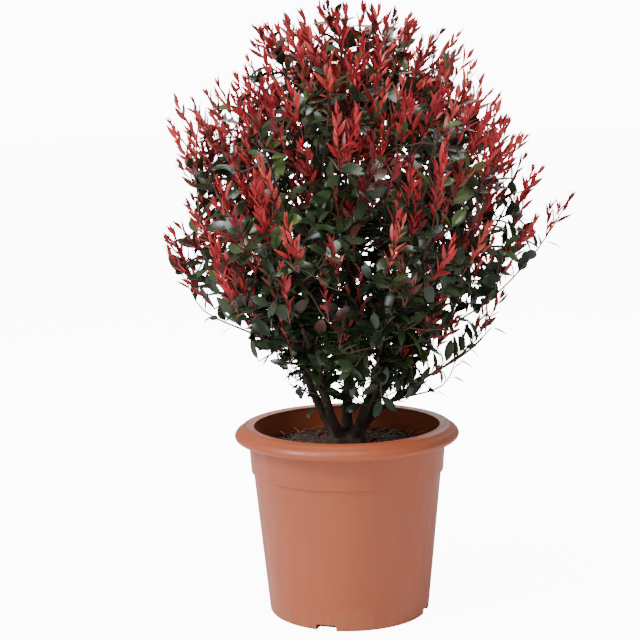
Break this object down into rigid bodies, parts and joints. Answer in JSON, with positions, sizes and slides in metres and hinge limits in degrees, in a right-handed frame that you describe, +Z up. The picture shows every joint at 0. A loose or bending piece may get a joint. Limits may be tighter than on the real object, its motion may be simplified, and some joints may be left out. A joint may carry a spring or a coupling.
{
  "type": "potted photinia shrub",
  "caption": "Many-stemmed evergreen shrub with red young shoots over dark green leaves, in a round tapered pot with a rolled rim, filled with compost.",
  "frame": {"origin": "centre of the pot's flat underside, on the surface that the pot stands on", "axes": "+Z up along the plant's height, -Y towards the plant's front, +X to its right as seen from the front"},
  "size_m": [0.7326, 0.6451, 1.0825],
  "materials": {
    "pot": "moulded terracotta-coloured plastic, satin",
    "compost": "dark fibrous potting compost with bits of bark",
    "bark": "thin dark brown bark, slightly rough",
    "red_foliage": "glossy red young leaves and shoots among green leaves",
    "green_foliage": "glossy dark green mature leaves"
  },
  "bodies": {
    "root": {"bough_heart_1": "bark", "bough_low_1": "bark", "bough_low_2": "bark", "bough_low_3": "bark", "bough_low_4": "bark", "bough_low_5": "bark", "bough_mid_1": "bark", "bough_mid_2": "bark", "bough_mid_3": "bark", "bough_mid_4": "bark", "bough_mid_5": "bark", "bough_mid_6": "bark", "bough_shoulder_1": "bark", "bough_shoulder_2": "bark", "bough_shoulder_3": "bark", "bough_shoulder_4": "bark", "bough_shoulder_5": "bark", "bough_spray": "bark", "bough_top_1": "bark", "bough_top_2": "bark", "bough_top_3": "bark", "compost": "compost", "foliage_crown": "red_foliage", "foliage_heart_1": "red_foliage", "foliage_low_1": "green_foliage", "foliage_low_2": "green_foliage", "foliage_low_3": "green_foliage", "foliage_low_4": "green_foliage", "foliage_low_5": "green_foliage", "foliage_mid_1": "red_foliage", "foliage_mid_2": "red_foliage", "foliage_mid_3": "red_foliage", "foliage_mid_4": "red_foliage", "foliage_mid_5": "red_foliage", "foliage_mid_6": "red_foliage", "foliage_shoulder_1": "red_foliage", "foliage_shoulder_2": "red_foliage", "foliage_shoulder_3": "red_foliage", "foliage_shoulder_4": "red_foliage", "foliage_shoulder_5": "red_foliage", "foliage_spray": "green_foliage", "foliage_top_1": "red_foliage", "foliage_top_2": "red_foliage", "foliage_top_3": "red_foliage", "foliage_upper_1": "red_foliage", "foliage_upper_2": "red_foliage", "foliage_upper_3": "red_foliage", "foliage_upper_4": "red_foliage", "foliage_upper_5": "red_foliage", "pot": "pot", "root_crown": "bark", "stem_1": "bark", "stem_2": "bark", "stem_3": "bark", "stem_4": "bark", "stem_5": "bark", "stem_centre": "bark"}
  },
  "joints": []
}
